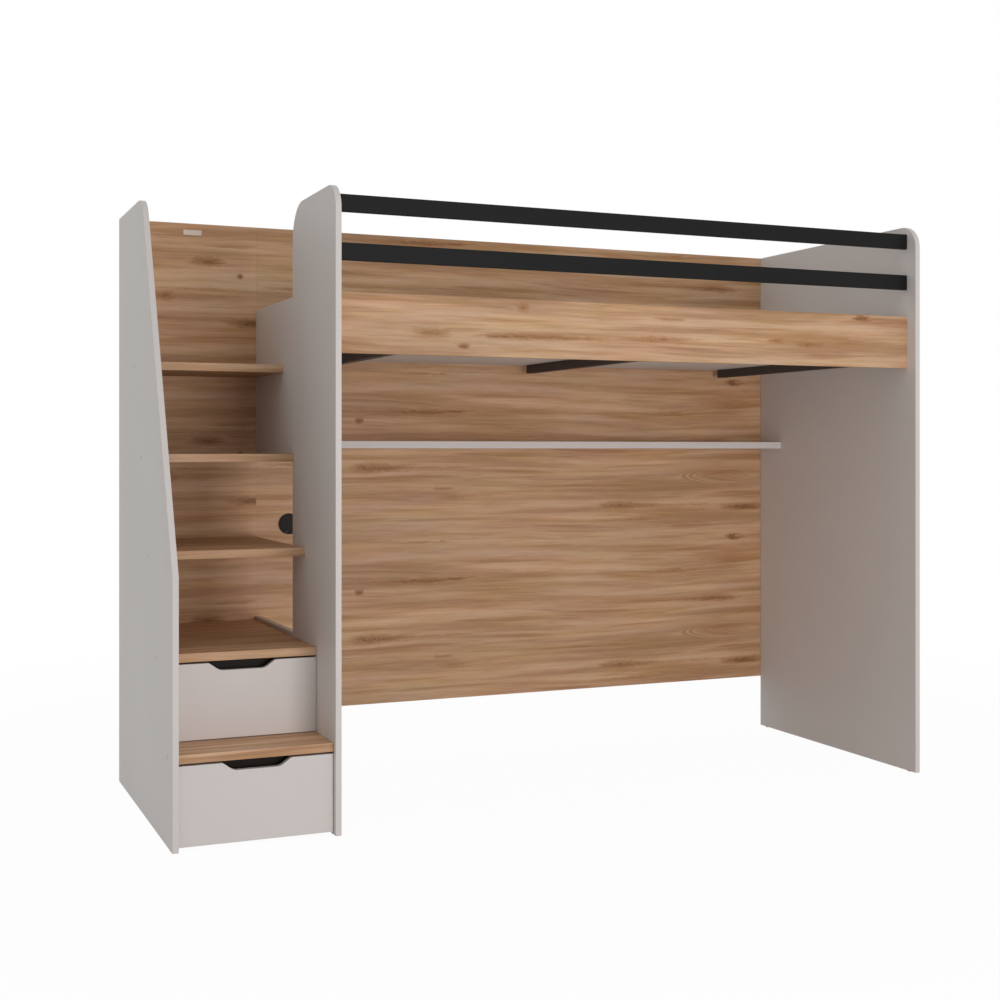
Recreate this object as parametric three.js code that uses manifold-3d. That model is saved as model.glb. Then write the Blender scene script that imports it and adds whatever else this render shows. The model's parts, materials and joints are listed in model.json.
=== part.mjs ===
// Loft bed with a staircase of drawers, in millimetres, +Z up.
// The origin is the middle of the footprint, on the floor. The bed's front faces -Y.
import * as THREE from 'three';
import { mergeVertices } from 'three/addons/utils/BufferGeometryUtils.js';
import Module from 'manifold-3d';

const wasm = await Module();
wasm.setup();

// Clear lengths, depths and heights. The gap of one seam is left wherever two pieces meet.
const bedLength = 2010;
const stairWidth = 438.5;
const panelDepth = 935;
const panelHeight = 1847;
const glideHeight = 2;
const seam = 0.3;

// Board thicknesses.
const panelThickness = 18;
const wallThickness = 18;
const treadThickness = 25;
const shelfThickness = 25;
const frontRailThickness = 18;
const baseThickness = 18;

// Side panels, end board and lower side panel.
const kinkHeight = 746;
const slantSetback = 494;
const leftCornerRadius = 90;
const frontCornerRadius = 75;
const backCornerRadius = 110;
const middlePanelDepth = 461;
const endBoardUpstand = 148;
const lowerSideUpstand = 11.5;

// Back wall, in two boards. Its ends stay inside the panels' outer faces.
const bedWallBottom = 196;
const wallInset = 5;
const wallJointShift = 1;

// Staircase. The open treads divide the height from the second tread to the top one.
const firstTreadTop = 262.5;
const drawerRise = 250;
const openTreadShares = [1 / 3, 2 / 3, 1];
const firstTreadFront = 18;
const drawerGoing = 177;
const openGoing = 126;

// Bed: the levels of rails, base and top tread hang from the panels' top.
const topMargin = 26.5;
const guardRailHeight = 50;
const upperGuardGap = 88.5;
const lowerGuardGap = 91;
const frontRailHeight = 175;
const frontRailDrop = 32;
const baseRise = 38;
const railFront = 44;
const guardRailDepth = 20;
const guardRailWall = 1.5;
const guardRailCorner = 2.5;
const guardRailPlug = 20;
const baseJointGap = 2;
const battenWidth = 25;
const battenHeight = 25;
const beamWidth = 30;
const beamHeight = 30;
const beamWall = 2;
const beamShares = [0.088, 0.4915, 0.895];
const beamBackGap = 45;
const beamPlateWidth = 64;
const beamPlateThickness = 3;
const shelfDepth = 142;
const shelfDrop = 279;

// Drawer fronts and boxes.
const frontThickness = 18;
const frontSideGap = 1.5;
const frontTopGap = 5.5;
const lowerFrontBottom = 11.5;
const upperFrontGap = 2.5;
const notchTopWidth = 193.5;
const notchBottomWidth = 131.5;
const notchDepth = 22.5;
const notchTopRadius = 16;
const notchFloorRadius = 36;
const boxDepth = 450;
const boxRaise = 22;
const boxSideHeight = 150;
const boxSideThickness = 16;
const boxBackThickness = 16;
const boxBottomThickness = 3;
const grooveDepth = 6;
const grooveHeight = 10;

// Finger cups.
const cupWall = 1.5;
const cupReach = 24;
const cupDrop = 8;
const cupLipDrop = 2;

// Drawer runners: three nested channels on each side.
const runnerWidth = 12.7;
const runnerHeight = 45;
const runnerSheet = 1.5;
const runnerPlay = 0.4;
const runnerSetback = 2;
const runnerWebGap = 1.6;

// Cable grommet and name plate.
const grommetFromMiddle = 96.5;
const grommetDrop = 259.5;
const grommetFlangeRadius = 36;
const grommetFlangeThickness = 2.5;
const grommetBarrelRadius = 32;
const grommetBoreRadius = 30;
const grommetBarrelLength = 16;
const capThickness = 3;
const capSkirtThickness = 2;
const capSkirtLength = 8;
const slotWidth = 22;
const slotDepth = 13;
const plateWidth = 61;
const plateHeight = 17.5;
const plateThickness = 1.2;
const plateCorner = 2;
const plateFromLeft = 210;
const plateDrop = 21.5;

// Glides, screws, and pins glued in board ends.
const glideRadius = 8;
const glideInset = 40;
const glidePinRadius = 3;
const glidePinLength = 8;
const screwLength = 50;
const screwRadius = 3.5;
const screwHeadRadius = 5;
const screwHeadHeight = 3;
const screwSetback = 53;
const pinRadius = 4;
const pinDepth = 11;
const pinInset = 45;
const pinShares = [0.15, 0.5, 0.85];
const railPinRadius = 5;
const railPinBore = 3;

// Sides of small round pieces and of the grommet, and steps in a rounded corner.
const smallSides = 8;
const grommetSides = 40;
const cornerSteps = 7;
const smallCornerSteps = 3;

// How far a cut runs past the piece that it cuts, and a joined pin into its board.
const overrun = 1;

const finishes = {
  greyBoard: { color: 0xcdc4bf, roughness: 0.55, metalness: 0 },
  oakBoard: { color: 0xb8926e, roughness: 0.6, metalness: 0 },
  whiteBoard: { color: 0xe4e1dc, roughness: 0.6, metalness: 0 },
  blackSteel: { color: 0x242424, roughness: 0.5, metalness: 0.3 },
  blackPlastic: { color: 0x1d1c1b, roughness: 0.45, metalness: 0 },
  zincSteel: { color: 0xb4b6b8, roughness: 0.35, metalness: 0.9 },
  satinPlate: { color: 0xd8d6d2, roughness: 0.35, metalness: 0.6 },
};

// Planes and levels, measured from the left panel's outer face, the panels' front edges and the floor.
const leftInner = panelThickness;
const middleLeft = leftInner + stairWidth;
const middleRight = middleLeft + panelThickness;
const rightInner = middleRight + bedLength;
const rightOuter = rightInner + panelThickness;
const wallFront = panelDepth + seam;
const wallBack = wallFront + wallThickness;
const panelTop = glideHeight + panelHeight;
const upperGuardBottom = panelTop - topMargin - guardRailHeight;
const lowerGuardBottom = upperGuardBottom - upperGuardGap - guardRailHeight;
const frontRailTop = lowerGuardBottom - lowerGuardGap;
const frontRailBottom = frontRailTop - frontRailHeight;
const baseBottom = frontRailBottom + frontRailDrop;
const baseTop = baseBottom + baseThickness;
const secondTreadTop = firstTreadTop + drawerRise;
const openHeight = baseBottom - baseRise - secondTreadTop;
const openTreadTops = openTreadShares.map((share) => secondTreadTop + share * openHeight);
const treadTops = [firstTreadTop, secondTreadTop, ...openTreadTops];
const secondTreadFront = firstTreadFront + drawerGoing;
const openTreadFronts = openTreadShares.map((share, index) => secondTreadFront + (index + 1) * openGoing);
const treadFronts = [firstTreadFront, secondTreadFront, ...openTreadFronts];
const treadBottoms = treadTops.map((top) => top - treadThickness);
const lowerSideTop = secondTreadTop + lowerSideUpstand;
const endBoardBottom = treadBottoms[3];
const endBoardTop = baseTop + endBoardUpstand;
const shelfTop = baseBottom - shelfDrop;
const shelfBottom = shelfTop - shelfThickness;

// Axis changes: an outline in (y, z) runs along x, and an outline in (x, z) runs along y.
const alongX = new THREE.Matrix4().makeBasis(
  new THREE.Vector3(0, 1, 0), new THREE.Vector3(0, 0, 1), new THREE.Vector3(1, 0, 0));
const alongY = new THREE.Matrix4().makeBasis(
  new THREE.Vector3(1, 0, 0), new THREE.Vector3(0, 0, 1), new THREE.Vector3(0, -1, 0));

function toSolid(geometry) {
  const bare = geometry.clone();
  bare.deleteAttribute('normal');
  bare.deleteAttribute('uv');
  const merged = mergeVertices(bare);
  return new wasm.Manifold(new wasm.Mesh({
    numProp: 3,
    vertProperties: new Float32Array(merged.attributes.position.array),
    triVerts: new Uint32Array(merged.index.array),
  }));
}

function toGeometry(solid) {
  const mesh = solid.getMesh();
  const geometry = new THREE.BufferGeometry();
  geometry.setAttribute('position', new THREE.BufferAttribute(mesh.vertProperties, 3));
  geometry.setIndex(new THREE.BufferAttribute(mesh.triVerts, 1));
  geometry.computeVertexNormals();
  return geometry;
}

// Joins pins to a blank, then cuts holes in it.
function shaped(blank, pins, holes) {
  if (pins.length + holes.length === 0) return blank;
  const whole = pins.reduce((solid, pin) => solid.add(toSolid(pin)), toSolid(blank));
  return toGeometry(holes.reduce((solid, hole) => solid.subtract(toSolid(hole)), whole));
}

// A box between two opposite corners.
function box(low, high) {
  const size = high.map((value, axis) => value - low[axis]);
  const centre = high.map((value, axis) => (value + low[axis]) / 2);
  return new THREE.BoxGeometry(...size).translate(...centre);
}

// A closed outline through corners of [u, v, radius], given anticlockwise.
function outline(corners) {
  const shape = new THREE.Shape();
  corners.forEach(([u, v, radius = 0], index) => {
    const corner = new THREE.Vector2(u, v);
    const before = new THREE.Vector2(...corners.at(index - 1)).sub(corner).normalize();
    const after = new THREE.Vector2(...corners[(index + 1) % corners.length]).sub(corner).normalize();
    const half = before.angleTo(after) / 2;
    const start = corner.clone().addScaledVector(before, radius / Math.tan(half));
    const end = corner.clone().addScaledVector(after, radius / Math.tan(half));
    if (index === 0) shape.moveTo(start.x, start.y);
    else shape.lineTo(start.x, start.y);
    if (radius === 0) return;
    const centre = before.clone().add(after).setLength(radius / Math.sin(half)).add(corner);
    const hollow = before.cross(after) > 0;
    shape.absarc(centre.x, centre.y, radius, start.sub(centre).angle(), end.sub(centre).angle(), hollow);
  });
  return shape;
}

function rectangle(low, high, radius = 0) {
  return outline([
    [low[0], low[1], radius], [high[0], low[1], radius],
    [high[0], high[1], radius], [low[0], high[1], radius],
  ]);
}

// The section of a rectangular tube, from its lower left corner.
function tubeSection(width, height, wall, corner) {
  const section = rectangle([0, 0], [width, height], corner);
  section.holes.push(rectangle([wall, wall], [width - wall, height - wall]));
  return section;
}

function extruded(shape, depth, curveSegments) {
  return new THREE.ExtrudeGeometry(shape, { depth, bevelEnabled: false, curveSegments });
}

// An outline in (y, z), extruded along x from x = 0.
function acrossX(shape, thickness, steps = cornerSteps) {
  return extruded(shape, thickness, steps).applyMatrix4(alongX);
}

// An outline in (x, z), extruded along y from y = 0.
function acrossY(shape, thickness, steps = cornerSteps) {
  return extruded(shape, thickness, steps).applyMatrix4(alongY).translate(0, thickness, 0);
}

// A round solid on the y axis from a profile of [radius, distance].
function turned(profile, sides = smallSides) {
  return new THREE.LatheGeometry(profile.map((point) => new THREE.Vector2(...point)), sides);
}

// The profile of a plain rod between two distances.
function rod(radius, start, end) {
  return [[0, start], [radius, start], [radius, end], [0, end]];
}

// A round solid that points up.
function turnedUp(profile) {
  return turned(profile).rotateX(Math.PI / 2);
}

// A round solid that points to the right (direction 1) or to the left (direction -1).
function turnedX(profile, direction) {
  return turned(profile).rotateZ(-direction * Math.PI / 2);
}

// Adds a named mesh at a place in its group.
function piece(group, name, finish, geometry, place = [0, 0, 0]) {
  const mesh = new THREE.Mesh(geometry, new THREE.MeshStandardMaterial(finishes[finish]));
  mesh.name = name;
  mesh.position.set(...place);
  group.add(mesh);
}

// Adds a board between two corners. Its pins and holes are given in the group's frame.
function board(group, name, finish, low, high, { pins = [], holes = [] } = {}) {
  const size = high.map((value, axis) => value - low[axis]);
  const local = (tools) => tools.map((tool) => tool.clone().translate(...low.map((value) => -value)));
  piece(group, name, finish, shaped(box([0, 0, 0], size), local(pins), local(holes)), low);
}

const bed = new THREE.Group();
bed.position.set(-rightOuter / 2, -wallBack / 2, 0);

// The hole of every pin, screw and glide, in the bed's frame. The panels are cut with these at the end.
const sockets = [];

// A pin in the end of a board. It enters the panel whose face is at faceX.
function pinX(faceX, direction, y, z, radius = pinRadius) {
  const solid = (clearance) =>
    turnedX(rod(radius + clearance, -overrun, pinDepth + clearance), direction).translate(faceX, y, z);
  sockets.push(solid(seam));
  return solid(0);
}

// A pin in the back edge of a board. It enters the back wall.
function pinY(x, z) {
  const solid = (clearance) =>
    turned(rod(pinRadius + clearance, -overrun, pinDepth + clearance)).translate(x, wallFront, z);
  sockets.push(solid(seam));
  return solid(0);
}

// Adds a piece that is pressed into a panel, and its socket.
function pressedIn(name, finish, solid, place) {
  piece(bed, name, finish, solid(0), place);
  const socket = solid(seam).translate(...place);
  sockets.push(socket);
  return socket;
}

// Treads. Each has a screw at its left end, and pins at its other corners.
function tread(step) {
  const number = step + 1;
  const top = treadTops[step];
  const z = top - treadThickness / 2;
  const screwY = treadFronts[step] + screwSetback;
  const screwSolid = (clearance) => turnedX([
    [0, -clearance],
    [screwHeadRadius + clearance, -clearance],
    [screwHeadRadius + clearance, screwHeadHeight + clearance],
    [screwRadius + clearance, screwHeadHeight + clearance],
    [screwRadius + clearance, screwLength + clearance],
    [0, screwLength + clearance],
  ], 1);
  const screwHole = pressedIn(`tread_${number}_screw`, 'zincSteel', screwSolid, [0, screwY, z]);
  const besideNiche = z > lowerSideTop && z < endBoardBottom;
  const pins = [
    pinX(leftInner, -1, panelDepth - pinInset, z),
    pinX(middleLeft, 1, screwY, z),
    pinX(middleLeft, 1, (besideNiche ? middlePanelDepth : panelDepth) - pinInset, z),
  ];
  board(bed, `tread_${number}`, 'oakBoard',
    [leftInner + seam, treadFronts[step], treadBottoms[step]],
    [middleLeft - seam, panelDepth, top], { pins, holes: [screwHole] });
}
treadTops.forEach((top, step) => tread(step));

// Front rail and guard rails.
const railBack = railFront + frontRailThickness;
const railStart = middleRight + seam;
const railEnd = rightInner - seam;

// Pins at both ends of a piece between the middle and the right panel, at each place in (y, z).
function pinsAtBothEnds(places, radius) {
  return places.flatMap(([y, z]) => [pinX(middleRight, -1, y, z, radius), pinX(rightInner, 1, y, z, radius)]);
}

const frontRailPins = [frontRailBottom + pinInset, frontRailTop - pinInset].map(
  (z) => [railFront + frontRailThickness / 2, z]);
board(bed, 'front_rail', 'oakBoard',
  [railStart, railFront, frontRailBottom], [railEnd, railBack, frontRailTop],
  { pins: pinsAtBothEnds(frontRailPins) });

// A steel tube with a plug in each end. A hollow pin on the plug enters the panel.
function guardRail(name, bottom) {
  const y = railFront + guardRailDepth / 2;
  const z = bottom + guardRailHeight / 2;
  const place = [railStart, railFront, bottom];
  const local = (geometry) => geometry.translate(...place.map((value) => -value));
  const length = railEnd - railStart;
  const section = tubeSection(guardRailDepth, guardRailHeight, guardRailWall, guardRailCorner);
  const plug = box([0, guardRailWall / 2, guardRailWall / 2],
    [guardRailPlug, guardRailDepth - guardRailWall / 2, guardRailHeight - guardRailWall / 2]);
  const pins = pinsAtBothEnds([[y, z]], railPinRadius).map(local);
  const bore = turnedX(rod(railPinBore, -pinDepth - overrun, length + pinDepth + overrun), 1)
    .translate(0, guardRailDepth / 2, guardRailHeight / 2);
  piece(bed, name, 'blackSteel', shaped(
    acrossX(section, length, smallCornerSteps),
    [plug, plug.clone().translate(length - guardRailPlug, 0, 0), ...pins], [bore]), place);
}
guardRail('guard_rail_lower', lowerGuardBottom);
guardRail('guard_rail_upper', upperGuardBottom);

// Bed base in two boards that meet over the middle beam. It lies on a batten behind the front rail, and is
// pinned to the panels and to the wall.
const baseFront = railBack + seam;
const beamCentres = beamShares.map((share) => middleRight + share * bedLength);
const baseJoint = beamCentres[1];
const baseZ = baseBottom + baseThickness / 2;

function baseBoard(name, start, end, pinFace, direction) {
  const endPins = [baseFront + battenWidth + pinInset, panelDepth - pinInset].map(
    (y) => pinX(pinFace, direction, y, baseZ));
  const wallPins = pinShares.map((share) => pinY(start + share * (end - start), baseZ));
  board(bed, name, 'greyBoard', [start, baseFront, baseBottom], [end, panelDepth, baseTop],
    { pins: [...endPins, ...wallPins] });
}
baseBoard('base_board_left', railStart, baseJoint - baseJointGap / 2, middleRight, -1);
baseBoard('base_board_right', baseJoint + baseJointGap / 2, railEnd, rightInner, 1);

const battenTop = baseBottom - seam;
const battenBack = baseFront + battenWidth;
board(bed, 'base_batten', 'whiteBoard',
  [railStart, baseFront, battenTop - battenHeight], [railEnd, battenBack, battenTop]);

// Beams: a steel tube under the base, with a plate against the batten.
function beam(name, centreX) {
  const front = battenBack + seam;
  const length = wallFront - beamBackGap - front;
  const plate = box([-beamPlateWidth / 2, 0, 0], [beamPlateWidth / 2, beamPlateThickness, beamHeight]);
  const tube = acrossY(tubeSection(beamWidth, beamHeight, beamWall, 0), length)
    .translate(-beamWidth / 2, 0, 0);
  piece(bed, name, 'blackSteel', shaped(tube, [plate], []), [centreX, front, battenTop - beamHeight]);
}
beam('bed_beam_left', beamCentres[0]);
beam('bed_beam_middle', beamCentres[1]);
beam('bed_beam_right', beamCentres[2]);

// Wall shelf, pinned at its ends and along its back.
const shelfZ = shelfBottom + shelfThickness / 2;
const shelfFront = panelDepth - shelfDepth;
const shelfPins = [
  ...pinsAtBothEnds([[shelfFront + pinInset, shelfZ], [panelDepth - pinInset, shelfZ]]),
  ...pinShares.map((share) => pinY(railStart + share * (railEnd - railStart), shelfZ)),
];
board(bed, 'wall_shelf', 'greyBoard',
  [railStart, shelfFront, shelfBottom], [railEnd, panelDepth, shelfTop], { pins: shelfPins });

// Glides: a foot, and a pin that is pressed into the panel's lower edge.
function glide(name, centreX, y) {
  const footTop = glideHeight - seam;
  const solid = (clearance) => turnedUp([
    [0, 0], [glideRadius, 0], [glideRadius, footTop], [glidePinRadius + clearance, footTop],
    [glidePinRadius + clearance, glideHeight + glidePinLength + clearance],
    [0, glideHeight + glidePinLength + clearance],
  ]);
  pressedIn(name, 'blackPlastic', solid, [centreX, y, 0]);
}
const halfPanel = panelThickness / 2;
glide('glide_left_front', halfPanel, glideInset);
glide('glide_left_back', halfPanel, panelDepth - glideInset);
glide('glide_middle_front', middleLeft + halfPanel, glideInset);
glide('glide_middle_back', middleLeft + halfPanel, panelDepth - glideInset);
glide('glide_right_front', rightInner + halfPanel, glideInset);
glide('glide_right_back', rightInner + halfPanel, panelDepth - glideInset);

// Side panels.
function panel(name, x, corners) {
  const place = [x, 0, 0];
  const holes = sockets.map((socket) => socket.clone().translate(-x, 0, 0));
  piece(bed, name, 'greyBoard', shaped(acrossX(outline(corners), panelThickness), [], holes), place);
}
panel('left_side_panel', 0, [
  [0, glideHeight], [panelDepth, glideHeight], [panelDepth, panelTop],
  [slantSetback, panelTop, leftCornerRadius], [0, kinkHeight],
]);
panel('middle_panel', middleLeft, [
  [0, glideHeight], [middlePanelDepth, glideHeight], [middlePanelDepth, panelTop, backCornerRadius],
  [0, panelTop, frontCornerRadius],
]);
panel('right_side_panel', rightInner, [
  [0, glideHeight], [panelDepth, glideHeight], [panelDepth, panelTop], [0, panelTop, frontCornerRadius],
]);

// Boards behind the middle panel: beside the drawers, and at the head of the stairs.
const behindMiddle = middlePanelDepth + seam;
board(bed, 'lower_side_panel', 'greyBoard',
  [middleLeft, behindMiddle, glideHeight], [middleRight, panelDepth, lowerSideTop], { holes: sockets });
board(bed, 'stair_end_board', 'greyBoard',
  [middleLeft, behindMiddle, endBoardBottom], [middleRight, panelDepth, endBoardTop], { holes: sockets });

// Back wall. Its two boards meet behind the middle panel, and the bed's board has the cable hole.
const wallJoint = middleLeft + wallJointShift;
const grommetPlace = [middleRight + grommetFromMiddle, wallFront, shelfBottom - grommetDrop];
const cableHole = turned(rod(grommetBarrelRadius + seam, -overrun, wallThickness + overrun), grommetSides)
  .translate(...grommetPlace);
board(bed, 'stair_back_panel', 'oakBoard',
  [wallInset, wallFront, glideHeight], [wallJoint - seam, wallBack, panelTop]);
board(bed, 'bed_back_panel', 'oakBoard',
  [wallJoint, wallFront, bedWallBottom], [rightOuter - wallInset, wallBack, panelTop],
  { holes: [...sockets, cableHole] });

// Cable grommet: a ring with its barrel in the wall, and a cap with a slot at its edge.
const flangeBack = -seam;
const flangeFront = flangeBack - grommetFlangeThickness;
piece(bed, 'grommet_ring', 'blackPlastic', turned([
  [grommetBoreRadius, flangeFront], [grommetFlangeRadius, flangeFront], [grommetFlangeRadius, flangeBack],
  [grommetBarrelRadius, flangeBack], [grommetBarrelRadius, grommetBarrelLength],
  [grommetBoreRadius, grommetBarrelLength], [grommetBoreRadius, flangeFront],
], grommetSides), grommetPlace);

const capRadius = grommetBoreRadius - seam;
const capSkirtRadius = capRadius - capSkirtThickness;
const capBack = flangeFront + capThickness;
const skirtBack = flangeFront + capSkirtLength;
const capBlank = turned([
  [0, flangeFront], [capRadius, flangeFront], [capRadius, skirtBack], [capSkirtRadius, skirtBack],
  [capSkirtRadius, capBack], [0, capBack],
], grommetSides);
const cableSlot = box(
  [capRadius - slotDepth, flangeFront - overrun, -slotWidth / 2],
  [capRadius + overrun, skirtBack + overrun, slotWidth / 2]);
piece(bed, 'grommet_cap', 'blackPlastic', shaped(capBlank, [], [cableSlot]), grommetPlace);

piece(bed, 'badge_plate', 'satinPlate',
  acrossY(rectangle([0, 0], [plateWidth, plateHeight], plateCorner), plateThickness, smallCornerSteps),
  [plateFromLeft, wallFront - seam - plateThickness, panelTop - plateDrop - plateHeight]);

// Half the finger notch's width at a height over its floor.
function notchHalf(rise) {
  return (notchBottomWidth + (notchTopWidth - notchBottomWidth) * rise / notchDepth) / 2;
}

// A black cup behind the notch. It is deeper than the notch, so that fingers can hook over the front.
function fingerCup(centreX, frontHeight) {
  const front = frontThickness + seam;
  const top = frontHeight - cupLipDrop;
  const half = notchTopWidth / 2;
  const notchFloor = frontHeight - notchDepth;
  const floor = notchFloor - cupDrop;
  const tray = box([centreX - half, front, floor], [centreX + half, front + cupReach, top]);
  const mouth = acrossY(outline([
    [centreX - notchHalf(0), notchFloor, notchFloorRadius],
    [centreX + notchHalf(0), notchFloor, notchFloorRadius],
    [centreX + notchHalf(notchDepth), frontHeight], [centreX - notchHalf(notchDepth), frontHeight],
  ]), cupWall + 2 * overrun).translate(0, front - overrun, 0);
  const inside = box(
    [centreX - half + cupWall, front + cupWall, floor + cupWall],
    [centreX + half - cupWall, front + cupReach - cupWall, top + overrun]);
  return shaped(tray, [], [mouth, inside]);
}

// The section of a runner channel, from its web towards its open side, centred on z = 0.
function channel(web, reach, halfHeight) {
  const webFace = web + Math.sign(reach - web) * runnerSheet;
  const flange = halfHeight - runnerSheet;
  return outline([
    [web, -halfHeight], [reach, -halfHeight], [reach, -flange], [webFace, -flange],
    [webFace, flange], [reach, flange], [reach, halfHeight], [web, halfHeight],
  ]);
}

// One side of a drawer: its side board and its runner. Distances run inwards from the staircase's panel.
function drawerSide(group, label, side, inwards) {
  const low = (from, to) => Math.min(inwards(from), inwards(to));
  const high = (from, to) => Math.max(inwards(from), inwards(to));
  const front = frontThickness + seam;
  const boardInner = runnerWidth + boxSideThickness;
  const grooveBottom = boxRaise + grooveHeight - seam;
  const grooveTop = boxRaise + grooveHeight + boxBottomThickness + seam;
  const groove = box(
    [low(boardInner - grooveDepth, boardInner + overrun), front - overrun, grooveBottom],
    [high(boardInner - grooveDepth, boardInner + overrun), front + boxDepth + overrun, grooveTop]);
  board(group, `${label}_drawer_${side}_side`, 'whiteBoard',
    [low(runnerWidth, boardInner), front, boxRaise],
    [high(runnerWidth, boardInner), front + boxDepth, boxRaise + boxSideHeight], { holes: [groove] });

  const fixedHalf = runnerHeight / 2;
  const slidingHalf = fixedHalf - runnerSheet - runnerPlay;
  const drawerHalf = slidingHalf - runnerSheet - runnerPlay;
  const slidingWeb = seam + runnerSheet + runnerWebGap;
  const drawerWeb = runnerWidth - seam;
  const reach = drawerWeb - runnerSheet - runnerPlay;
  const members = {
    fixed: [seam, reach, fixedHalf],
    sliding: [slidingWeb, reach, slidingHalf],
    drawer: [drawerWeb, slidingWeb + runnerSheet + runnerPlay, drawerHalf],
  };
  Object.entries(members).forEach(([member, [web, open, halfHeight]]) => {
    const section = channel(inwards(web), inwards(open), halfHeight);
    piece(group, `${label}_runner_${member}_${side}`, 'zincSteel', acrossY(section, boxDepth - runnerSetback),
      [0, front + runnerSetback, boxRaise + boxSideHeight / 2]);
  });
}

// A drawer in a frame of its own: x from the left panel, y from the front's face, z from its lower edge.
function drawer(label, frontY, bottomZ, topZ) {
  const group = new THREE.Group();
  group.position.set(leftInner, frontY, bottomZ);
  bed.add(group);
  const height = topZ - bottomZ;
  const centreX = stairWidth / 2;
  const notchFloor = height - notchDepth;
  const topHalf = notchHalf(notchDepth);
  const floorHalf = notchHalf(0);

  piece(group, `${label}_drawer_front`, 'greyBoard', acrossY(outline([
    [frontSideGap, 0], [stairWidth - frontSideGap, 0], [stairWidth - frontSideGap, height],
    [centreX + topHalf, height, notchTopRadius], [centreX + floorHalf, notchFloor, notchFloorRadius],
    [centreX - floorHalf, notchFloor, notchFloorRadius], [centreX - topHalf, height, notchTopRadius],
    [frontSideGap, height],
  ]), frontThickness));
  piece(group, `${label}_finger_cup`, 'blackPlastic', fingerCup(centreX, height));

  drawerSide(group, label, 'left', (distance) => distance);
  drawerSide(group, label, 'right', (distance) => stairWidth - distance);

  const innerLeft = runnerWidth + boxSideThickness;
  const innerRight = stairWidth - innerLeft;
  const boxFront = frontThickness + seam;
  const boxBack = boxFront + boxDepth;
  const bottomLevel = boxRaise + grooveHeight;
  board(group, `${label}_drawer_back`, 'whiteBoard',
    [innerLeft + seam, boxBack - boxBackThickness, bottomLevel + boxBottomThickness + seam],
    [innerRight - seam, boxBack, boxRaise + boxSideHeight]);
  board(group, `${label}_drawer_bottom`, 'whiteBoard',
    [innerLeft - grooveDepth + seam, boxFront, bottomLevel],
    [innerRight + grooveDepth - seam, boxBack, bottomLevel + boxBottomThickness]);
}
drawer('lower', firstTreadFront, lowerFrontBottom, treadBottoms[0] - frontTopGap);
drawer('upper', secondTreadFront, firstTreadTop + upperFrontGap, treadBottoms[1] - frontTopGap);

export default bed;
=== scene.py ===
# Loft bed with a staircase of drawers: finishes, softened board edges, small fittings, light and camera.
import json
from math import pi, radians

import bmesh
import bpy
from mathutils import Matrix, Vector

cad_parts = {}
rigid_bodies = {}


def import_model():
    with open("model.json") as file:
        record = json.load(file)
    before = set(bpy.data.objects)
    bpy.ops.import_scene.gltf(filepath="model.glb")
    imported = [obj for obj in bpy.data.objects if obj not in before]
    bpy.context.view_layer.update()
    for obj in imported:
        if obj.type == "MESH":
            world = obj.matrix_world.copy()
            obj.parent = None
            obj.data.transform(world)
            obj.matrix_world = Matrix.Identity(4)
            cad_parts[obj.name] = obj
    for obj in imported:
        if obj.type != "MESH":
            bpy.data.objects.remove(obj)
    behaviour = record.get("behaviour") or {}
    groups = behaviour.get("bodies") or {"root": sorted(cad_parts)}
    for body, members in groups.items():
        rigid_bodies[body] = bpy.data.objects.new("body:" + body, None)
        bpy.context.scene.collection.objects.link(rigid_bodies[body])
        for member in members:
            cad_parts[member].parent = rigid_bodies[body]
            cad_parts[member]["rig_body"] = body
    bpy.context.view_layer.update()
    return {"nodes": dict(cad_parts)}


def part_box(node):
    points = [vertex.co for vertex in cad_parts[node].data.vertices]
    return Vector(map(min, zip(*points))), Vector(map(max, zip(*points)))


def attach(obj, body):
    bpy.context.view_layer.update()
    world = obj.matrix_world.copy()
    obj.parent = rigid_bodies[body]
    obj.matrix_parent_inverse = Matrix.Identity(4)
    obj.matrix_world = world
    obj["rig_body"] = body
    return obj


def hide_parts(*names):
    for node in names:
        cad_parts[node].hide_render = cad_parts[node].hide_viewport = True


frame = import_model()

MM = 0.001

# Two corners of the CAD mesh nearer than this are one, and faces that turn less than this are one flat face.
SAME_POINT = 0.01 * MM
FLAT_TURN = radians(1)

# Edges that turn more than this are crisp. They are rounded: most on the panels, whose edge bands are 2 mm
# thick, less on boards with a thin band, still less on drawer boxes, rails and beams, and least on small
# pieces.
CRISP_TURN = radians(28)
THICK_BAND_RADIUS = 2.0 * MM
BAND_RADIUS = 1.0 * MM
BAR_RADIUS = 0.6 * MM
SMALL_RADIUS = 0.3 * MM
ROUND_STEPS = 2

# Edges shorter than this stay as they are, so that a drilled hole keeps its rim.
BOARD_EDGE = 6 * MM
CURVE_EDGE = 1 * MM
TUBE_EDGE = 20 * MM

# Edges nearer than this to the joint of two boards belong to the joint.
JOINT_REACH = 1 * MM

# The bed's front left corner on the floor. Places in this script are given from it, in millimetres.
left_panel_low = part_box("left_side_panel")[0]
corner = Vector((left_panel_low.x, left_panel_low.y, 0))


def at(x, y, z):
    """A place in metres, from millimetres to the right, back and up from the bed's front left corner."""
    return corner + Vector((x, y, z)) * MM


# ---------------------------------------------------------------- colours and nodes

def linear(code):
    """An sRGB hex colour as linear red, green, blue and alpha."""
    parts = [int(code[start:start + 2], 16) / 255 for start in (1, 3, 5)]
    return [p / 12.92 if p <= 0.04045 else ((p + 0.055) / 1.055) ** 2.4 for p in parts] + [1.0]


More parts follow.
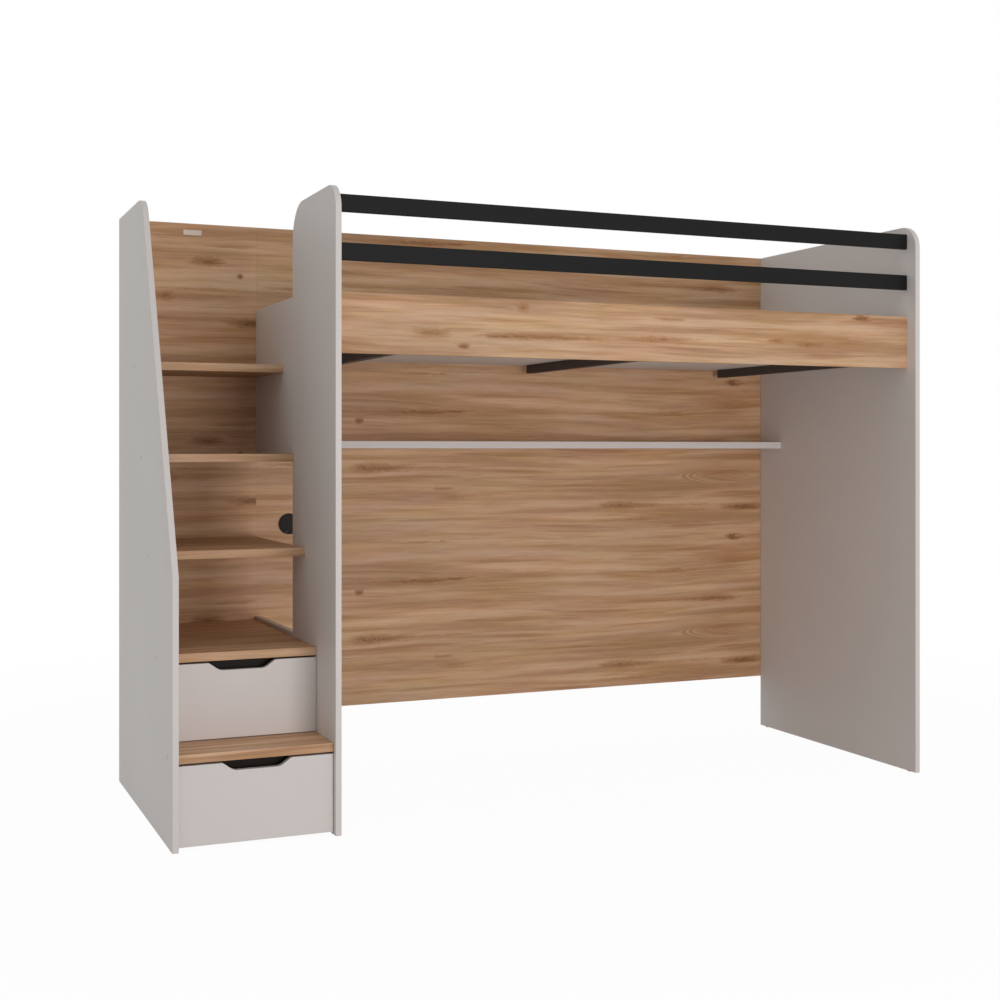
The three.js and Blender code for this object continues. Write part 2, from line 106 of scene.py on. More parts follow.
def add(tree, kind, settings=None, links=None):
    """Adds a node and gives its outputs.

    The settings are its properties and its inputs' values. The links are the outputs that feed its inputs.
    """
    node = tree.nodes.new("ShaderNode" + kind)
    for key, value in (settings or {}).items():
        if key == "stops":
            stops = node.color_ramp.elements
            while len(stops) < len(value):
                stops.new(0.5)
            for stop, (position, colour) in zip(stops, value):
                stop.position, stop.color = position, linear(colour)
        elif isinstance(key, str) and hasattr(node, key):
            setattr(node, key, value)
        else:
            node.inputs[key].default_value = value
    for key, output in (links or {}).items():
        tree.links.new(output, node.inputs[key])
    return node.outputs


def new_material(name):
    """A material, its node tree, the tree's shader and the Object coordinates."""
    made = bpy.data.materials.new(name)
    made.use_nodes = True
    tree = made.node_tree
    return made, tree, tree.nodes["Principled BSDF"], add(tree, "TexCoord")["Object"]


def set_shader(tree, shader, settings, links):
    for key, value in settings.items():
        shader.inputs[key].default_value = value
    for key, output in links.items():
        tree.links.new(output, shader.inputs[key])


def grains_of(size):
    """The scale of a noise whose grains are this many millimetres wide."""
    return 1 / (size * MM)


# ---------------------------------------------------------------- oak decor

# The printed paper repeats after one turn of its roller.
PRINT_REPEAT = 603 * MM
ROLLER_RADIUS = PRINT_REPEAT / (2 * pi)

# Knots shorter than this, in millimetres to each side, are dots.
DOT_KNOT = 30

# A knot has a core, and its tail has two thinner blots. A blot has a shift along the grain, a length, a
# height and a strength, as shares of the knot's own.
KNOT_CORE = 0.95
TAIL_BLOTS = ((0.95, 0.9, 0.6, 0.7), (2.4, 1.6, 0.22, 0.6))

# How far a knot's ragged outline wanders in all, along and across the grain.
RAGGED_REACH = (90 * MM, 12 * MM, 0)

# How far the grain drifts, how far a knot pushes it aside, and how far the heart's arches reach and rise.
GRAIN_DRIFT = 60 * MM
KNOT_PUSH = 18 * MM
HEART_REACH = (230 * MM, 36 * MM, 1)
ARCH_SLOPE = -0.16

# The bands' noise runs from the dark tone to the light one over this much to each side of its middle.
BAND_SPREAD = 0.12

OAK_DARK, OAK_MID, OAK_LIGHT = "#9F754E", "#C29975", "#D4B292"
OAK_RED, OAK_OLIVE = "#C08A66", "#BA9B70"
OAK_PINK, OAK_YELLOW = "#C39D88", "#C09860"
OAK_STREAK, OAK_STAIN_AND_SHADE, OAK_KNOT = "#97693F", "#A67345", "#805430"


def stretch(length, height):
    """The scale of a figure on the roller whose marks are this long and this high, in millimetres."""
    around = ROLLER_RADIUS * grains_of(height)
    return grains_of(length), around, around


def oak_decor(name, board, knots, print_start, heart=None, tone=1.0, contrast=1.0, shift=(0, 0)):
    """Oak-look paper pressed on chipboard: matt, with long soft bands of grain that bow round brown knots.

    A knot is (x, z, length, height, strength, tail), in millimetres on the board's front, with a tail to the
    right (1), to the left (-1) or none (0). An entry of the knot table can also be a wide, faint blot of
    painted shade. A repeat of the knots starts at the height print_start. At the heart, (x, z), the grain
    makes nested arches. The tone is the board's lightness, and on the treads it is also painted shade; the
    contrast is the bands', and the shift picks another place of the print for a board.
    """
    made, tree, shader, where = new_material(name)
    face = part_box(board)[0]
    moved = add(tree, "Mapping", {"Location": (shift[0] * MM - corner.x, -face.y, shift[1] * MM)},
                {"Vector": where})[0]
    # Height and depth are added, so the print runs on over a board's front edge to its top.
    axes = add(tree, "SeparateXYZ", {}, {0: moved})
    along = axes["X"]
    rise = add(tree, "Math", {"operation": "ADD"}, {0: axes["Y"], 1: axes["Z"]})[0]

    def on_roller(height):
        """A height turned round the print's roller, so that the pattern closes on itself after one repeat."""
        turn = add(tree, "Math", {"operation": "MULTIPLY", 1: 2 * pi / PRINT_REPEAT}, {0: height})[0]
        sine = add(tree, "Math", {"operation": "SINE"}, {0: turn})[0]
        cosine = add(tree, "Math", {"operation": "COSINE"}, {0: turn})[0]
        return add(tree, "CombineXYZ", {}, {0: along, 1: sine, 2: cosine})[0]

    # The grain drifts up and down by some 20 mm over a metre.
    plain = on_roller(rise)
    spot = add(tree, "Mapping", {"Scale": stretch(1250, 330)}, {"Vector": plain})[0]
    drift = add(tree, "TexNoise", {"Scale": 1.0, "Detail": 2.0, "Roughness": 0.45}, {"Vector": spot})["Fac"]
    drifted = add(tree, "Math", {"operation": "MULTIPLY_ADD", 1: GRAIN_DRIFT}, {0: drift, 2: rise})[0]

    # Knots, and a blot of painted shade where the knot table holds one: soft ellipses with ragged ends. The
    # small ones are round dots.
    spot = add(tree, "Mapping", {"Scale": stretch(40, 10)}, {"Vector": plain})[0]
    ragged = add(tree, "TexNoise", {"Scale": 1.0, "Detail": 3.0}, {"Vector": spot})["Color"]
    ragged = add(tree, "VectorMath", {"operation": "SUBTRACT", 1: (0.5, 0.5, 0.5)}, {0: ragged})[0]
    ragged = add(tree, "VectorMath", {"operation": "MULTIPLY", 1: RAGGED_REACH}, {0: ragged})[0]
    start = print_start * MM
    wrapped = add(tree, "Math", {"operation": "WRAP", 1: start + PRINT_REPEAT, 2: start}, {0: rise})[0]
    flat = add(tree, "CombineXYZ", {}, {0: along, 1: wrapped})[0]
    torn = add(tree, "VectorMath", {"operation": "ADD"}, {0: flat, 1: ragged})[0]
    blots = []
    for x, z, length, height, strength, tail in knots:
        blots.append((x, z, KNOT_CORE * length, KNOT_CORE * height, strength))
        if tail:
            for away, longer, thinner, weaker in TAIL_BLOTS:
                blots.append((x + tail * away * length, z, longer * length, thinner * height,
                              weaker * strength))
    knots_and_shade = None
    for x, z, half_length, half_height, strength in blots:
        outline = flat if half_length < DOT_KNOT else torn
        half_size = (half_length * MM, half_height * MM, 1)
        spot = add(tree, "Mapping", {"vector_type": "TEXTURE", "Location": (x * MM, z * MM, 0),
                                     "Scale": half_size}, {"Vector": outline})[0]
        fade = add(tree, "TexGradient", {"gradient_type": "SPHERICAL"}, {0: spot})["Fac"]
        links = {0: fade} if knots_and_shade is None else {0: fade, 2: knots_and_shade}
        knots_and_shade = add(tree, "Math", {"operation": "MULTIPLY_ADD", 1: strength, 2: 0.0}, links)[0]

    # The grain runs round the knots.
    grain = add(tree, "Math", {"operation": "MULTIPLY_ADD", 1: KNOT_PUSH}, {0: knots_and_shade, 2: drifted})[0]

    # At the heart the rings lie as arches: the grain follows the distance from a line, and the way along it.
    if heart:
        spot = add(tree, "Mapping", {"vector_type": "TEXTURE", "Location": (heart[0] * MM, heart[1] * MM, 0),
                                     "Scale": HEART_REACH}, {"Vector": flat})[0]
        arched = add(tree, "TexGradient", {"gradient_type": "SPHERICAL"}, {0: spot})["Fac"]
        arched = add(tree, "MapRange", {"interpolation_type": "SMOOTHSTEP", "From Max": 0.5},
                     {"Value": arched})[0]
        above = add(tree, "Math", {"operation": "SUBTRACT", 1: heart[1] * MM}, {0: wrapped})[0]
        beside = add(tree, "Math", {"operation": "ABSOLUTE"}, {0: above})[0]
        arch = add(tree, "Math", {"operation": "MULTIPLY_ADD", 1: ARCH_SLOPE}, {0: along, 2: beside})[0]
        less = add(tree, "Math", {"operation": "SUBTRACT"}, {0: arch, 1: above})[0]
        grain = add(tree, "Math", {"operation": "MULTIPLY_ADD"}, {0: less, 1: arched, 2: grain})[0]
    figured = on_roller(grain)

    # Bands some 33 mm high and 0.8 m long, in three tones.
    spot = add(tree, "Mapping", {"Scale": stretch(800, 33)}, {"Vector": figured})[0]
    bands = add(tree, "TexNoise", {"Scale": 1.0, "Detail": 5.0, "Roughness": 0.58}, {"Vector": spot})["Fac"]
    spread = BAND_SPREAD / contrast
    tones = [(0.5 - spread, OAK_DARK), (0.5, OAK_MID), (0.5 + spread, OAK_LIGHT)]
    colour = add(tree, "ValToRGB", {"stops": tones}, {0: bands})[0]

    # Patches of a redder and a greener brown, and of a pinker and a yellower one.
    spot = add(tree, "Mapping", {"Scale": stretch(320, 70)}, {"Vector": on_roller(drifted)})[0]
    blush = add(tree, "TexNoise", {"Scale": 1.0, "Detail": 2.0}, {"Vector": spot})["Fac"]
    tint = add(tree, "ValToRGB", {"stops": [(0.38, OAK_RED), (0.62, OAK_OLIVE)]}, {0: blush})[0]
    colour = add(tree, "MixRGB", {"Fac": 0.24}, {"Color1": colour, "Color2": tint})[0]
    spot = add(tree, "Mapping", {"Scale": stretch(300, 45)}, {"Vector": figured})[0]
    warmth = add(tree, "TexNoise", {"Scale": 1.0, "Detail": 2.0}, {"Vector": spot})["Fac"]
    tint = add(tree, "ValToRGB", {"stops": [(0.38, OAK_PINK), (0.62, OAK_YELLOW)]}, {0: warmth})[0]
    colour = add(tree, "MixRGB", {"Fac": 0.22}, {"Color1": colour, "Color2": tint})[0]

    # Whole boards' widths of the print are a little lighter or darker.
    spot = add(tree, "Mapping", {"Scale": stretch(700, 110)}, {"Vector": plain})[0]
    lots = add(tree, "TexNoise", {"Scale": 1.0, "Detail": 1.0}, {"Vector": spot})["Fac"]
    lot = add(tree, "MapRange", {"From Min": 0.3, "From Max": 0.7,
                                 "To Min": tone * 0.9, "To Max": tone * 1.1}, {"Value": lots})[0]

    # Fine fibres. Real ones are 0.3 mm high; they are drawn 4 mm high so that they show.
    spot = add(tree, "Mapping", {"Scale": stretch(150, 4)}, {"Vector": figured})[0]
    fibres = add(tree, "TexNoise", {"Scale": 1.0, "Detail": 2.0, "Roughness": 0.7}, {"Vector": spot})["Fac"]
    fibre = add(tree, "MapRange", {"From Min": 0.3, "From Max": 0.7, "To Min": 0.92, "To Max": 1.075},
                {"Value": fibres})[0]
    shade = add(tree, "Math", {"operation": "MULTIPLY"}, {0: fibre, 1: lot})[0]

    # Short dashes, dark and light. Real ones are 1 mm high; they are drawn 5 mm high so that they show.
    spot = add(tree, "Mapping", {"Scale": stretch(80, 5)}, {"Vector": figured})[0]
    dashes = add(tree, "TexNoise", {"Scale": 1.0, "Detail": 1.0}, {"Vector": spot})["Fac"]
    for edge, full, depth in ((0.58, 0.72, 0.9), (0.42, 0.28, 1.05)):
        dash = add(tree, "MapRange", {"From Min": edge, "From Max": full, "To Min": 1.0, "To Max": depth},
                   {"Value": dashes})[0]
        shade = add(tree, "Math", {"operation": "MULTIPLY"}, {0: shade, 1: dash})[0]
    colour = add(tree, "VectorMath", {"operation": "SCALE"}, {0: colour, "Scale": shade})[0]

    # Long dark streaks, some 14 mm high.
    spot = add(tree, "Mapping", {"Scale": stretch(400, 14)}, {"Vector": figured})[0]
    streaks = add(tree, "TexNoise", {"Scale": 1.0, "Detail": 1.0}, {"Vector": spot})["Fac"]
    streak = add(tree, "MapRange", {"interpolation_type": "SMOOTHSTEP", "From Min": 0.58, "From Max": 0.74,
                                    "To Max": 0.42}, {"Value": streaks})[0]
    colour = add(tree, "MixRGB", {"Color2": linear(OAK_STREAK)}, {"Fac": streak, "Color1": colour})[0]

    # The knots' own brown, speckled, in a lighter stain. The same lighter colour also draws the painted shade
    # of the one wide, faint blot on the bed wall.
    spot = add(tree, "Mapping", {"Scale": stretch(17, 5)}, {"Vector": plain})[0]
    speckle = add(tree, "TexNoise", {"Scale": 1.0, "Detail": 3.0, "Roughness": 0.7}, {"Vector": spot})["Fac"]
    speckled = add(tree, "Math", {"operation": "MULTIPLY"}, {0: knots_and_shade, 1: speckle})[0]
    for code, edge, full, cover in ((OAK_STAIN_AND_SHADE, 0.0, 0.26, 0.6), (OAK_KNOT, 0.18, 0.55, 0.85)):
        knot = add(tree, "MapRange", {"interpolation_type": "SMOOTHSTEP", "From Min": edge, "From Max": full,
                                      "To Max": cover}, {"Value": speckled})[0]
        colour = add(tree, "MixRGB", {"Color2": linear(code)}, {"Fac": knot, "Color1": colour})[0]

    roughness = add(tree, "MapRange", {"To Min": 0.5, "To Max": 0.62}, {"Value": fibres})[0]
    bump = add(tree, "Bump", {"Strength": 0.25, "Distance": 0.3 * MM}, {"Height": fibres})[0]
    set_shader(tree, shader, {"IOR": 1.5, "Specular IOR Level": 0.35},
               {"Base Color": colour, "Roughness": roughness, "Normal": bump})
    return made


# ---------------------------------------------------------------- plain boards, metals and plastics

def melamine_board(name, code, roughness):
    """Plain melamine paper on chipboard: one even colour with a fine pearl structure, softening its sheen."""
    made, tree, shader, where = new_material(name)
    # The structure is 0.5 mm wide; it is drawn 2.5 mm wide so that it shows.
    pearl = add(tree, "TexNoise", {"Scale": grains_of(2.5), "Detail": 2.0}, {"Vector": where})["Fac"]
    cloud = add(tree, "TexNoise", {"Scale": grains_of(450), "Detail": 2.0}, {"Vector": where})["Fac"]
    both = add(tree, "Math", {"operation": "MULTIPLY_ADD", 1: 0.6}, {0: pearl, 2: cloud})[0]
    shade = add(tree, "MapRange", {"From Min": 0.5, "From Max": 1.1, "To Min": 0.975, "To Max": 1.025},
                {"Value": both})[0]
    colour = add(tree, "VectorMath", {"operation": "SCALE", 0: linear(code)[:3]}, {"Scale": shade})[0]
    sheen = add(tree, "MapRange", {"To Min": roughness - 0.05, "To Max": roughness + 0.08},
                {"Value": pearl})[0]
    bump = add(tree, "Bump", {"Strength": 0.2, "Distance": 0.15 * MM}, {"Height": pearl})[0]
    set_shader(tree, shader, {"IOR": 1.5, "Specular IOR Level": 0.4},
               {"Base Color": colour, "Roughness": sheen, "Normal": bump})
    return made


def powder_coat(name, code, gloss):
    """Powder-coated steel: a satin skin with a slight orange peel that breaks up its highlights."""
    made, tree, shader, where = new_material(name)
    # The peel is 1 mm wide; it is drawn 3 mm wide so that it shows.
    peel = add(tree, "TexNoise", {"Scale": grains_of(3), "Detail": 2.0}, {"Vector": where})["Fac"]
    wear = add(tree, "TexNoise", {"Scale": grains_of(200), "Detail": 3.0}, {"Vector": where})["Fac"]
    shade = add(tree, "MapRange", {"To Min": 0.85, "To Max": 1.15}, {"Value": wear})[0]
    colour = add(tree, "VectorMath", {"operation": "SCALE", 0: linear(code)[:3]}, {"Scale": shade})[0]
    sheen = add(tree, "MapRange", {"To Min": 0.42, "To Max": 0.58}, {"Value": peel})[0]
    bump = add(tree, "Bump", {"Strength": 0.3, "Distance": 0.2 * MM}, {"Height": peel})[0]
    set_shader(tree, shader, {"IOR": 1.5, "Specular IOR Level": gloss},
               {"Base Color": colour, "Roughness": sheen, "Normal": bump})
    return made


def moulded_plastic(name, code, roughness):
    """Moulded ABS: a fine spark-eroded grain that leaves a dull, even gloss."""
    made, tree, shader, where = new_material(name)
    # The grain is 0.3 mm wide; it is drawn 1.5 mm wide so that it shows.
    grain = add(tree, "TexVoronoi", {"Scale": grains_of(1.5)}, {"Vector": where})["Distance"]
    shade = add(tree, "MapRange", {"To Min": 0.9, "To Max": 1.1}, {"Value": grain})[0]
    colour = add(tree, "VectorMath", {"operation": "SCALE", 0: linear(code)[:3]}, {"Scale": shade})[0]
    sheen = add(tree, "MapRange", {"To Min": roughness - 0.06, "To Max": roughness + 0.06},
                {"Value": grain})[0]
    bump = add(tree, "Bump", {"Strength": 0.25, "Distance": 0.1 * MM}, {"Height": grain})[0]
    set_shader(tree, shader, {"IOR": 1.46, "Specular IOR Level": 0.13},
               {"Base Color": colour, "Roughness": sheen, "Normal": bump})
    return made


def brushed_metal(name, code, roughness, line_length):
    """Bare or plated metal, drawn or brushed along x: fine lines that widen its reflections across them."""
    made, tree, shader, where = new_material(name)
    # The lines are 0.1 mm wide; they are drawn 1 mm wide so that they show.
    lines = add(tree, "Mapping", {"Scale": (grains_of(line_length), grains_of(1), grains_of(1))},
                {"Vector": where})[0]
    brushing = add(tree, "TexNoise", {"Scale": 1.0, "Detail": 3.0}, {"Vector": lines})["Fac"]
    shade = add(tree, "MapRange", {"To Min": 0.86, "To Max": 1.1}, {"Value": brushing})[0]
    colour = add(tree, "VectorMath", {"operation": "SCALE", 0: linear(code)[:3]}, {"Scale": shade})[0]
    sheen = add(tree, "MapRange", {"To Min": roughness - 0.08, "To Max": roughness + 0.1},
                {"Value": brushing})[0]
    bump = add(tree, "Bump", {"Strength": 0.15, "Distance": 0.1 * MM}, {"Height": brushing})[0]
    set_shader(tree, shader, {"Metallic": 1.0},
               {"Base Color": colour, "Roughness": sheen, "Normal": bump})
    return made


# Knots and stains of the walls and the rail, placed after the photograph.
bed_wall_knots = [
    (859, 1026, 115, 26, 1.0, 1), (1086, 622, 150, 19, 1.0, -1), (1190, 627, 60, 9, 0.7, 1),
    (1845, 880, 130, 24, 0.9, 1), (2405, 868, 150, 22, 1.2, 0), (2300, 513, 110, 18, 1.0, -1),
    (2363, 752, 40, 16, 1.6, 0), (824, 589, 24, 14, 1.3, 0), (1182, 919, 110, 18, 0.6, 0),
    (1135, 952, 60, 9, 0.75, 0), (1060, 760, 180, 8, 0.6, 0), (1900, 826, 240, 8, 0.6, 0),
    (1511, 634, 200, 16, 0.55, 0), (2075, 628, 110, 12, 0.6, 0), (2300, 1005, 300, 15, 0.5, 0),
    # The wide, faint blot at (2330, 695) is painted shade, not a stain: it darkens the wall under the bed
    # towards its right end.
    (2350, 662, 200, 24, 0.4, 0), (2330, 695, 340, 75, 0.22, 0), (560, 1040, 110, 9, 0.65, 0),
]
stair_wall_knots = [
    (293, 1723, 80, 22, 1.1, 0), (402, 1678, 15, 13, 1.4, 0), (153, 1606, 70, 24, 1.0, 0),
    (440, 1519, 110, 24, 1.2, 0), (250, 1631, 300, 8, 0.55, 0), (371, 1779, 130, 9, 0.55, 0),
]
rail_knots = [
    (760, 1433, 90, 24, 0.8, 0), (1075, 1432, 200, 18, 0.9, 0), (1250, 1430, 160, 9, 0.6, 0),
    (960, 1430, 90, 9, 0.6, 0), (863, 1397, 28, 13, 1.5, 0), (1056, 1519, 30, 22, 0.8, 0),
    (1530, 1437, 190, 15, 0.8, 0), (1560, 1500, 90, 9, 0.6, 0), (1960, 1444, 60, 11, 0.7, 0),
    (2087, 1437, 70, 15, 0.9, 0), (2249, 1447, 110, 18, 0.5, 0), (2298, 1530, 46, 13, 1.5, 0),
]

# The treads' knots are invented.
tread_knots = [(560, 40, 110, 18, 0.9, 1), (1420, 330, 140, 20, 0.9, -1)]

bed_wall_oak = oak_decor("oak_decor_bed_wall", "bed_back_panel", bed_wall_knots, 450, heart=(2340, 992),
                         tone=1.05)
stair_wall_oak = oak_decor("oak_decor_stair_wall", "stair_back_panel", stair_wall_knots, 1490, tone=1.1)
rail_oak = oak_decor("oak_decor_rail", "front_rail", rail_knots, 1300, tone=1.03, contrast=1.3)

# Each higher tread is painted a little darker, as painted shade, and shows another place of the print.
TREADS = range(1, 6)
TREAD_TONE, TREAD_PAINTED_SHADE = 1.13, 0.045
TREAD_SHIFT = (700, 137)
tread_oaks = {}
for number in TREADS:
    tread = f"tread_{number}"
    tread_oaks[tread] = oak_decor(
        "oak_decor_" + tread, tread, tread_knots, 0, tone=TREAD_TONE - TREAD_PAINTED_SHADE * number,
        shift=(TREAD_SHIFT[0] * number, TREAD_SHIFT[1] * number))

grey_board = melamine_board("cashmere_melamine", "#D8D1CD", 0.5)
white_board = melamine_board("white_melamine", "#DDDAD6", 0.5)
black_coat = powder_coat("black_powder_coat", "#151515", 0.15)
beam_coat = powder_coat("brown_black_powder_coat", "#504845", 0.1)
black_abs = moulded_plastic("black_abs", "#18120C", 0.45)
grey_abs = moulded_plastic("cashmere_abs", "#CCC5C1", 0.45)
zinc = brushed_metal("zinc_plated_steel", "#B9BBBE", 0.34, 25)
satin_plate = brushed_metal("satin_anodised_aluminium", "#AFA196", 0.45, 16)

# ---------------------------------------------------------------- pieces

def link(name, work, paint, body):
    """Makes a piece of a bmesh that is already in place, smooth but for its crisp edges."""
    mesh = bpy.data.meshes.new(name)
    work.to_mesh(mesh)
    work.free()
    mesh.polygons.foreach_set("use_smooth", [True] * len(mesh.polygons))
    mesh.set_sharp_from_angle(angle=CRISP_TURN)
    mesh.materials.append(paint)
    piece = bpy.data.objects.new(name, mesh)
    bpy.context.scene.collection.objects.link(piece)
    piece.modifiers.new("weighted_normals", "WEIGHTED_NORMAL").keep_sharp = True
    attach(piece, body)
    return piece


def softened(node, paint, radius, shortest=BOARD_EDGE, seam=None):
    """Makes a copy of a CAD node with whole flat faces and rounded crisp edges, which stands for the node.

    Edges at the seam, a distance from the bed's left end, stay sharp, because another board meets them there.
    """
    source = frame["nodes"][node]
    work = bmesh.new()
    work.from_mesh(source.data)
    bmesh.ops.remove_doubles(work, verts=work.verts[:], dist=SAME_POINT)
    bmesh.ops.dissolve_limit(work, angle_limit=FLAT_TURN, verts=work.verts[:], edges=work.edges[:])
    edges = [e for e in work.edges
             if e.is_convex and e.calc_face_angle(0) > CRISP_TURN and e.calc_length() > shortest]
    if seam is not None:
        edges = [e for e in edges if any(abs(v.co.x - at(seam, 0, 0).x) > JOINT_REACH for v in e.verts)]
    bmesh.ops.bevel(work, geom=edges, affect="EDGES", offset=radius, segments=ROUND_STEPS, profile=0.5,
                    material=-1, clamp_overlap=True)
    piece = link(node + "_soft", work, paint, source["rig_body"])
    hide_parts(node)


def turned(work, profile, place, axis, steps=20):
    """Spins a profile, (radius, height) in millimetres, round an axis through a place."""
    corners = [work.verts.new((r * MM, 0, h * MM)) for r, h in profile]
    edges = [work.edges.new(pair) for pair in zip(corners, corners[1:])]
    bmesh.ops.spin(work, geom=corners + edges, cent=(0, 0, 0), axis=(0, 0, 1), angle=2 * pi, steps=steps,
                   use_merge=True)
    fresh = [v for v in work.verts if not v.tag]
    bmesh.ops.transform(work, verts=fresh,
                        matrix=Matrix.Translation(place) @ axis.to_track_quat("Z", "Y").to_matrix().to_4x4())
    for v in fresh:
        v.tag = True


def closed(work):
    bmesh.ops.remove_doubles(work, verts=work.verts[:], dist=SAME_POINT)
    bmesh.ops.recalc_face_normals(work, faces=work.faces[:])
    return work


for node in ("left_side_panel", "middle_panel", "right_side_panel", "stair_end_board"):
    softened(node, grey_board, THICK_BAND_RADIUS)
for node in ("lower_side_panel", "base_board_left", "base_board_right", "wall_shelf"):
    softened(node, grey_board, BAND_RADIUS)
for label in ("lower", "upper"):
    softened(f"{label}_drawer_front", grey_board, BAND_RADIUS, CURVE_EDGE)
    softened(f"{label}_finger_cup", black_abs, SMALL_RADIUS, CURVE_EDGE)
    for part in ("left_side", "right_side", "back", "bottom"):
        softened(f"{label}_drawer_{part}", white_board, BAR_RADIUS)
    for part in ("fixed", "sliding", "drawer"):
        for side in ("left", "right"):
            softened(f"{label}_runner_{part}_{side}", zinc, SMALL_RADIUS)

# The back wall's two boards meet behind the middle panel.
WALL_SEAM = 457.35
softened("bed_back_panel", bed_wall_oak, BAND_RADIUS, seam=WALL_SEAM)
softened("stair_back_panel", stair_wall_oak, BAND_RADIUS, seam=WALL_SEAM)
softened("front_rail", rail_oak, BAND_RADIUS)
for node, paint in tread_oaks.items():
    softened(node, paint, BAND_RADIUS)
for node in ("guard_rail_lower", "guard_rail_upper"):
    softened(node, black_coat, BAR_RADIUS, TUBE_EDGE)
for node in ("bed_beam_left", "bed_beam_middle", "bed_beam_right"):
    softened(node, beam_coat, BAR_RADIUS, TUBE_EDGE)
softened("base_batten", white_board, BAND_RADIUS)
softened("badge_plate", satin_plate, SMALL_RADIUS)
for node in ("grommet_ring", "grommet_cap"):
    softened(node, black_abs, SMALL_RADIUS, CURVE_EDGE)
for side in ("left", "middle", "right"):
    for end in ("front", "back"):
        softened(f"glide_{side}_{end}", black_abs, SMALL_RADIUS, CURVE_EDGE)
for number in TREADS:
    softened(f"tread_{number}_screw", zinc, SMALL_RADIUS, CURVE_EDGE)

# Push-in covers over the treads' screws, on the left panel.
COVER = [(0, 1.1), (4.2, 1.0), (5.7, 0.7), (6.5, 0.0), (0, 0)]
covers = bmesh.new()
for number in TREADS:
    low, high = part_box(f"tread_{number}_screw")
    place = Vector((left_panel_low.x, (low.y + high.y) / 2, (low.z + high.z) / 2))
    turned(covers, COVER, place, Vector((-1, 0, 0)))
link("screw_covers", closed(covers), grey_abs, "frame")

# Pan-head screws hold the back wall to the panels, 250 mm apart, and the heads have a round socket.
HEAD = [(0, 0.5), (1.6, 0.5), (1.6, 1.6), (2.6, 1.6), (3.7, 1.1), (4.0, 0.0), (0, 0)]
HEAD_COLUMNS = (11, 450, 465, 2491)
HEAD_LOWEST, HEAD_SPACING, HEAD_ROWS = 230, 250, 7
wall_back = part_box("bed_back_panel")[1].y
heads = bmesh.new()
for x in HEAD_COLUMNS:
    for row in range(HEAD_ROWS):
        place = Vector((at(x, 0, 0).x, wall_back, (HEAD_LOWEST + row * HEAD_SPACING) * MM))
        turned(heads, HEAD, place, Vector((0, 1, 0)))
link("back_wall_screws", closed(heads), zinc, "frame")

# Connector bolts hold each drawer's sides to its front, two at each corner. Their heads are inside.
BOLT = [(0, 0.3), (2.5, 0.3), (2.5, 1.2), (6.6, 1.2), (7.4, 0.9), (7.5, 0.0), (0, 0)]
BOLT_SETBACK, BOLT_RISES = 34 * MM, (45 * MM, 115 * MM)
for label in ("lower", "upper"):
    bolts = bmesh.new()
    for side, face, way in (("left", 1, 1), ("right", 0, -1)):
        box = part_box(f"{label}_drawer_{side}_side")
        for bolt_rise in BOLT_RISES:
            place = Vector((box[face].x, box[0].y + BOLT_SETBACK, box[0].z + bolt_rise))
            turned(bolts, BOLT, place, Vector((way, 0, 0)))
    link(f"{label}_drawer_bolts", closed(bolts), zinc, f"{label}_drawer")

# ---------------------------------------------------------------- floor, light and camera

def seen_white(tree):
    """One for the camera's rays and for reflections, which see a white studio, and nought for the light."""
    rays = add(tree, "LightPath")
    seen = add(tree, "Math", {"operation": "MAXIMUM"},
               {0: rays["Is Camera Ray"], 1: rays["Is Glossy Ray"]})[0]
    return add(tree, "Math", {"operation": "MAXIMUM"}, {0: seen, 1: rays["Is Transmission Ray"]})[0]


FLOOR_HALF = 40

# The floor's white close to the bed, how far from the bed that reaches, and where it ends in full white.
SHADED_WHITE, SHADED_REACH, WHITE_REACH = 0.965, 1.8, 4.0


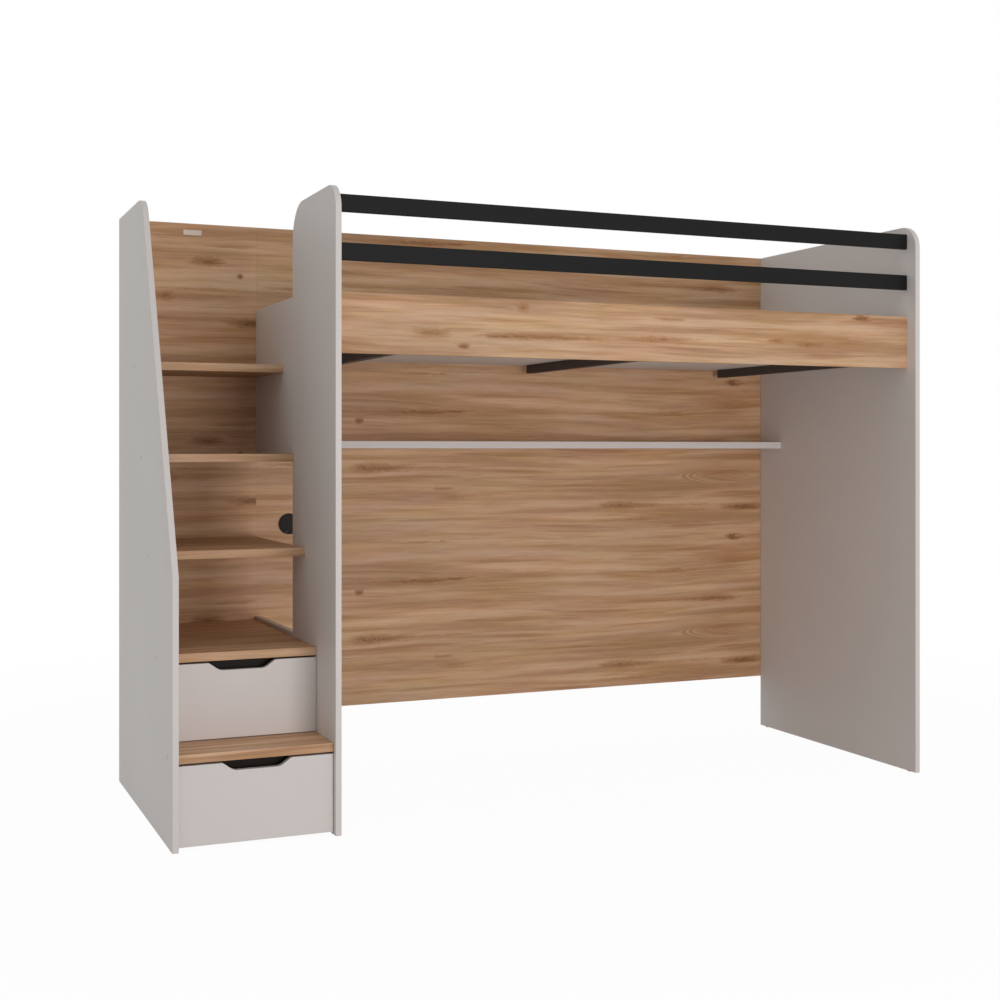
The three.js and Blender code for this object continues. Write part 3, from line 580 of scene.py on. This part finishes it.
def stage_floor():
    """A pale studio floor. The camera sees it white, with a faint shadow of the bed."""
    work = bmesh.new()
    bmesh.ops.create_grid(work, x_segments=1, y_segments=1, size=FLOOR_HALF)
    mesh = bpy.data.meshes.new("studio_floor")
    work.to_mesh(mesh)
    work.free()
    floor = bpy.data.objects.new("studio_floor", mesh)
    bpy.context.scene.collection.objects.link(floor)
    made, tree, shader, where = new_material("studio_floor_paint")
    set_shader(tree, shader,
               {"Base Color": linear("#E9E9E9"), "Roughness": 0.9, "Specular IOR Level": 0.0}, {})
    # Further than the shadow reaches, the floor is as white as the background.
    reach = add(tree, "VectorMath", {"operation": "LENGTH"}, {0: where})["Value"]
    share = add(tree, "MapRange", {"From Min": SHADED_REACH, "From Max": WHITE_REACH,
                                   "To Min": SHADED_WHITE, "To Max": 1.0}, {"Value": reach})[0]
    white = add(tree, "Math", {"operation": "MULTIPLY"}, {0: seen_white(tree), 1: share})[0]
    glow = add(tree, "Emission", {"Color": (1, 1, 1, 1), "Strength": 1.0})[0]
    mixed = add(tree, "MixShader", {}, {0: white, 1: shader.outputs[0], 2: glow})[0]
    tree.links.new(mixed, tree.nodes["Material Output"].inputs["Surface"])
    mesh.materials.append(made)


def soft_box(name, place, aim, size, power, colour):
    """A large studio lamp at a place, turned towards a point."""
    lamp = bpy.data.lights.new(name, "AREA")
    lamp.shape, lamp.size, lamp.energy, lamp.color = "SQUARE", size, power, colour
    holder = bpy.data.objects.new(name, lamp)
    holder.location = place
    holder.rotation_euler = (Vector(aim) - Vector(place)).to_track_quat("-Z", "Y").to_euler()
    holder.visible_camera = False
    bpy.context.scene.collection.objects.link(holder)


stage_floor()
soft_box("front_lamp", place=(0.3, -5.0, 0.8), aim=(0, 0, 0.9), size=1.8, power=73, colour=(1.0, 0.94, 0.95))

world = bpy.data.worlds.new("studio")
bpy.context.scene.world = world
world.use_nodes = True
sky = world.node_tree
room = add(sky, "Background", {"Color": (0.97, 1.0, 1.0, 1), "Strength": 0.56})[0]
white = add(sky, "Background", {"Color": (1, 1, 1, 1), "Strength": 1.0})[0]
mixed = add(sky, "MixShader", {}, {0: seen_white(sky), 1: room, 2: white})[0]
sky.links.new(mixed, sky.nodes["World Output"].inputs["Surface"])

# The photograph's viewpoint: just under the shelf's height, in front of the bed and to its left. The lens is
# held level.
camera_data = bpy.data.cameras.new("camera")
camera_data.sensor_fit = "HORIZONTAL"
camera_data.sensor_width = 36
camera_data.lens = 52.168
camera_data.shift_y = -0.05032
camera_data.clip_end = 100
camera = bpy.data.objects.new("camera", camera_data)
camera.location = at(-729.33, -3932.84, 1091.5)
camera.rotation_euler = (radians(90), 0, radians(-23.25))
bpy.context.scene.collection.objects.link(camera)
bpy.context.scene.camera = camera
bpy.context.scene.view_settings.view_transform = "Standard"
